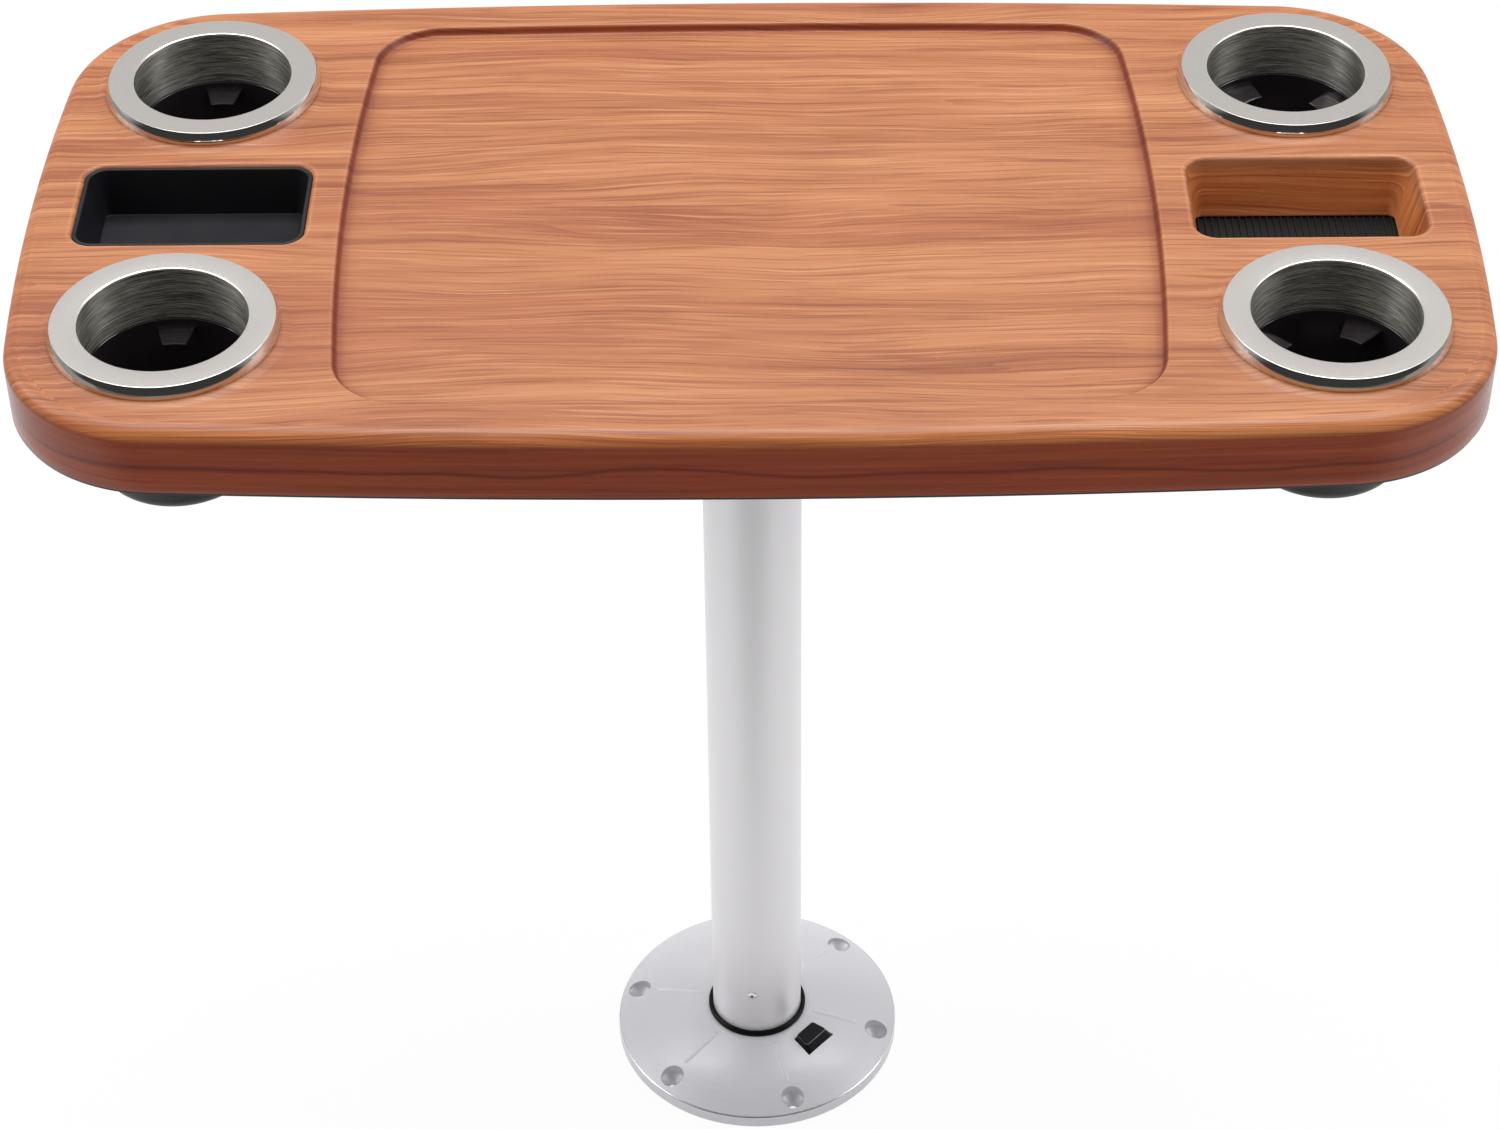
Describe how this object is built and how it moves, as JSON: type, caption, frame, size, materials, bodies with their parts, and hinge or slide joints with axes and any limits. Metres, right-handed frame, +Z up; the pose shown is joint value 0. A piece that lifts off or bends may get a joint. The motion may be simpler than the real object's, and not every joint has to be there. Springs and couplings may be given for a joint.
{
  "type": "single pole camper table",
  "caption": "Wood-look camper table on a single pole: ringed cup holders, tray recess and compartments above, plug-in floor base with a push-button release below.",
  "frame": {"origin": "centre of the base disc, on the floor under it", "axes": "+Z up along the pole, X along the long side of the top, -Y towards the front"},
  "size_m": [0.82, 0.436, 0.7509],
  "materials": {
    "wood_shell": "satin wood-grain film on moulded plastic",
    "pan_black": "fine leather-grain moulded plastic",
    "cup_black": "glossy inside, grained outside",
    "ring_steel": "satin flange, polished edge, brushed sleeve",
    "bin_black": "satin",
    "board_wood": "plain plywood",
    "bracket_metal": "dark powder coat on a casting",
    "bush_plastic": "satin",
    "screw_steel": "zinc plated",
    "tube_aluminium": "satin anodised",
    "base_silver": "silver-grey paint on a casting",
    "collar_black": "satin",
    "button_black": "satin",
    "release_steel": "plain"
  },
  "bodies": {
    "base": {"floor_base": "base_silver", "button_spring": "release_steel", "keeper_plate": "release_steel", "keeper_screws": "screw_steel"},
    "collar": {"swivel_collar": "collar_black"},
    "pedestal": {"top_shell": "wood_shell", "bottom_pan": "pan_black", "pan_screws": "screw_steel", "core_board": "board_wood", "cup_ring_front_left": "ring_steel", "cup_ring_front_right": "ring_steel", "cup_ring_back_left": "ring_steel", "cup_ring_back_right": "ring_steel", "cup_well_front_left": "cup_black", "cup_well_front_right": "cup_black", "cup_well_back_left": "cup_black", "cup_well_back_right": "cup_black", "storage_bin": "bin_black", "well_floor_left": "pan_black", "well_floor_right": "pan_black", "table_bracket": "bracket_metal", "bracket_bush": "bush_plastic", "bracket_screws": "screw_steel", "bracket_set_screws": "screw_steel", "pole_tube": "tube_aluminium", "pole_top_plug": "bush_plastic", "foot_sleeve": "tube_aluminium", "sleeve_rivets": "tube_aluminium", "foot_cap": "bush_plastic"},
    "button": {"release_button": "button_black"},
    "shoe": {"lock_shoe": "release_steel"}
  },
  "joints": [
    {"name": "swivel", "type": "hinge", "parent": "base", "child": "collar", "pos_m": [0, 0, 0.015], "axis": [0, 0, 1], "continuous": true},
    {"name": "lift_out", "type": "slide", "parent": "collar", "child": "pedestal", "axis": [0, 0, 1], "range_m": [0, 0.08]},
    {"name": "button_press", "type": "slide", "parent": "base", "child": "button", "axis": [0, 0, -1], "range_m": [0, 0.0025], "stiffness_N_per_m": 800, "springref_m": -0.005, "deforming": ["button_spring"]},
    {"name": "shoe_slide", "type": "slide", "parent": "base", "child": "shoe", "axis": [0.749, -0.6626, 0], "range_m": [0, 0.0025]}
  ],
  "couplings": [
    {"joint": "shoe_slide", "follows": "button_press", "ratio": 1}
  ]
}
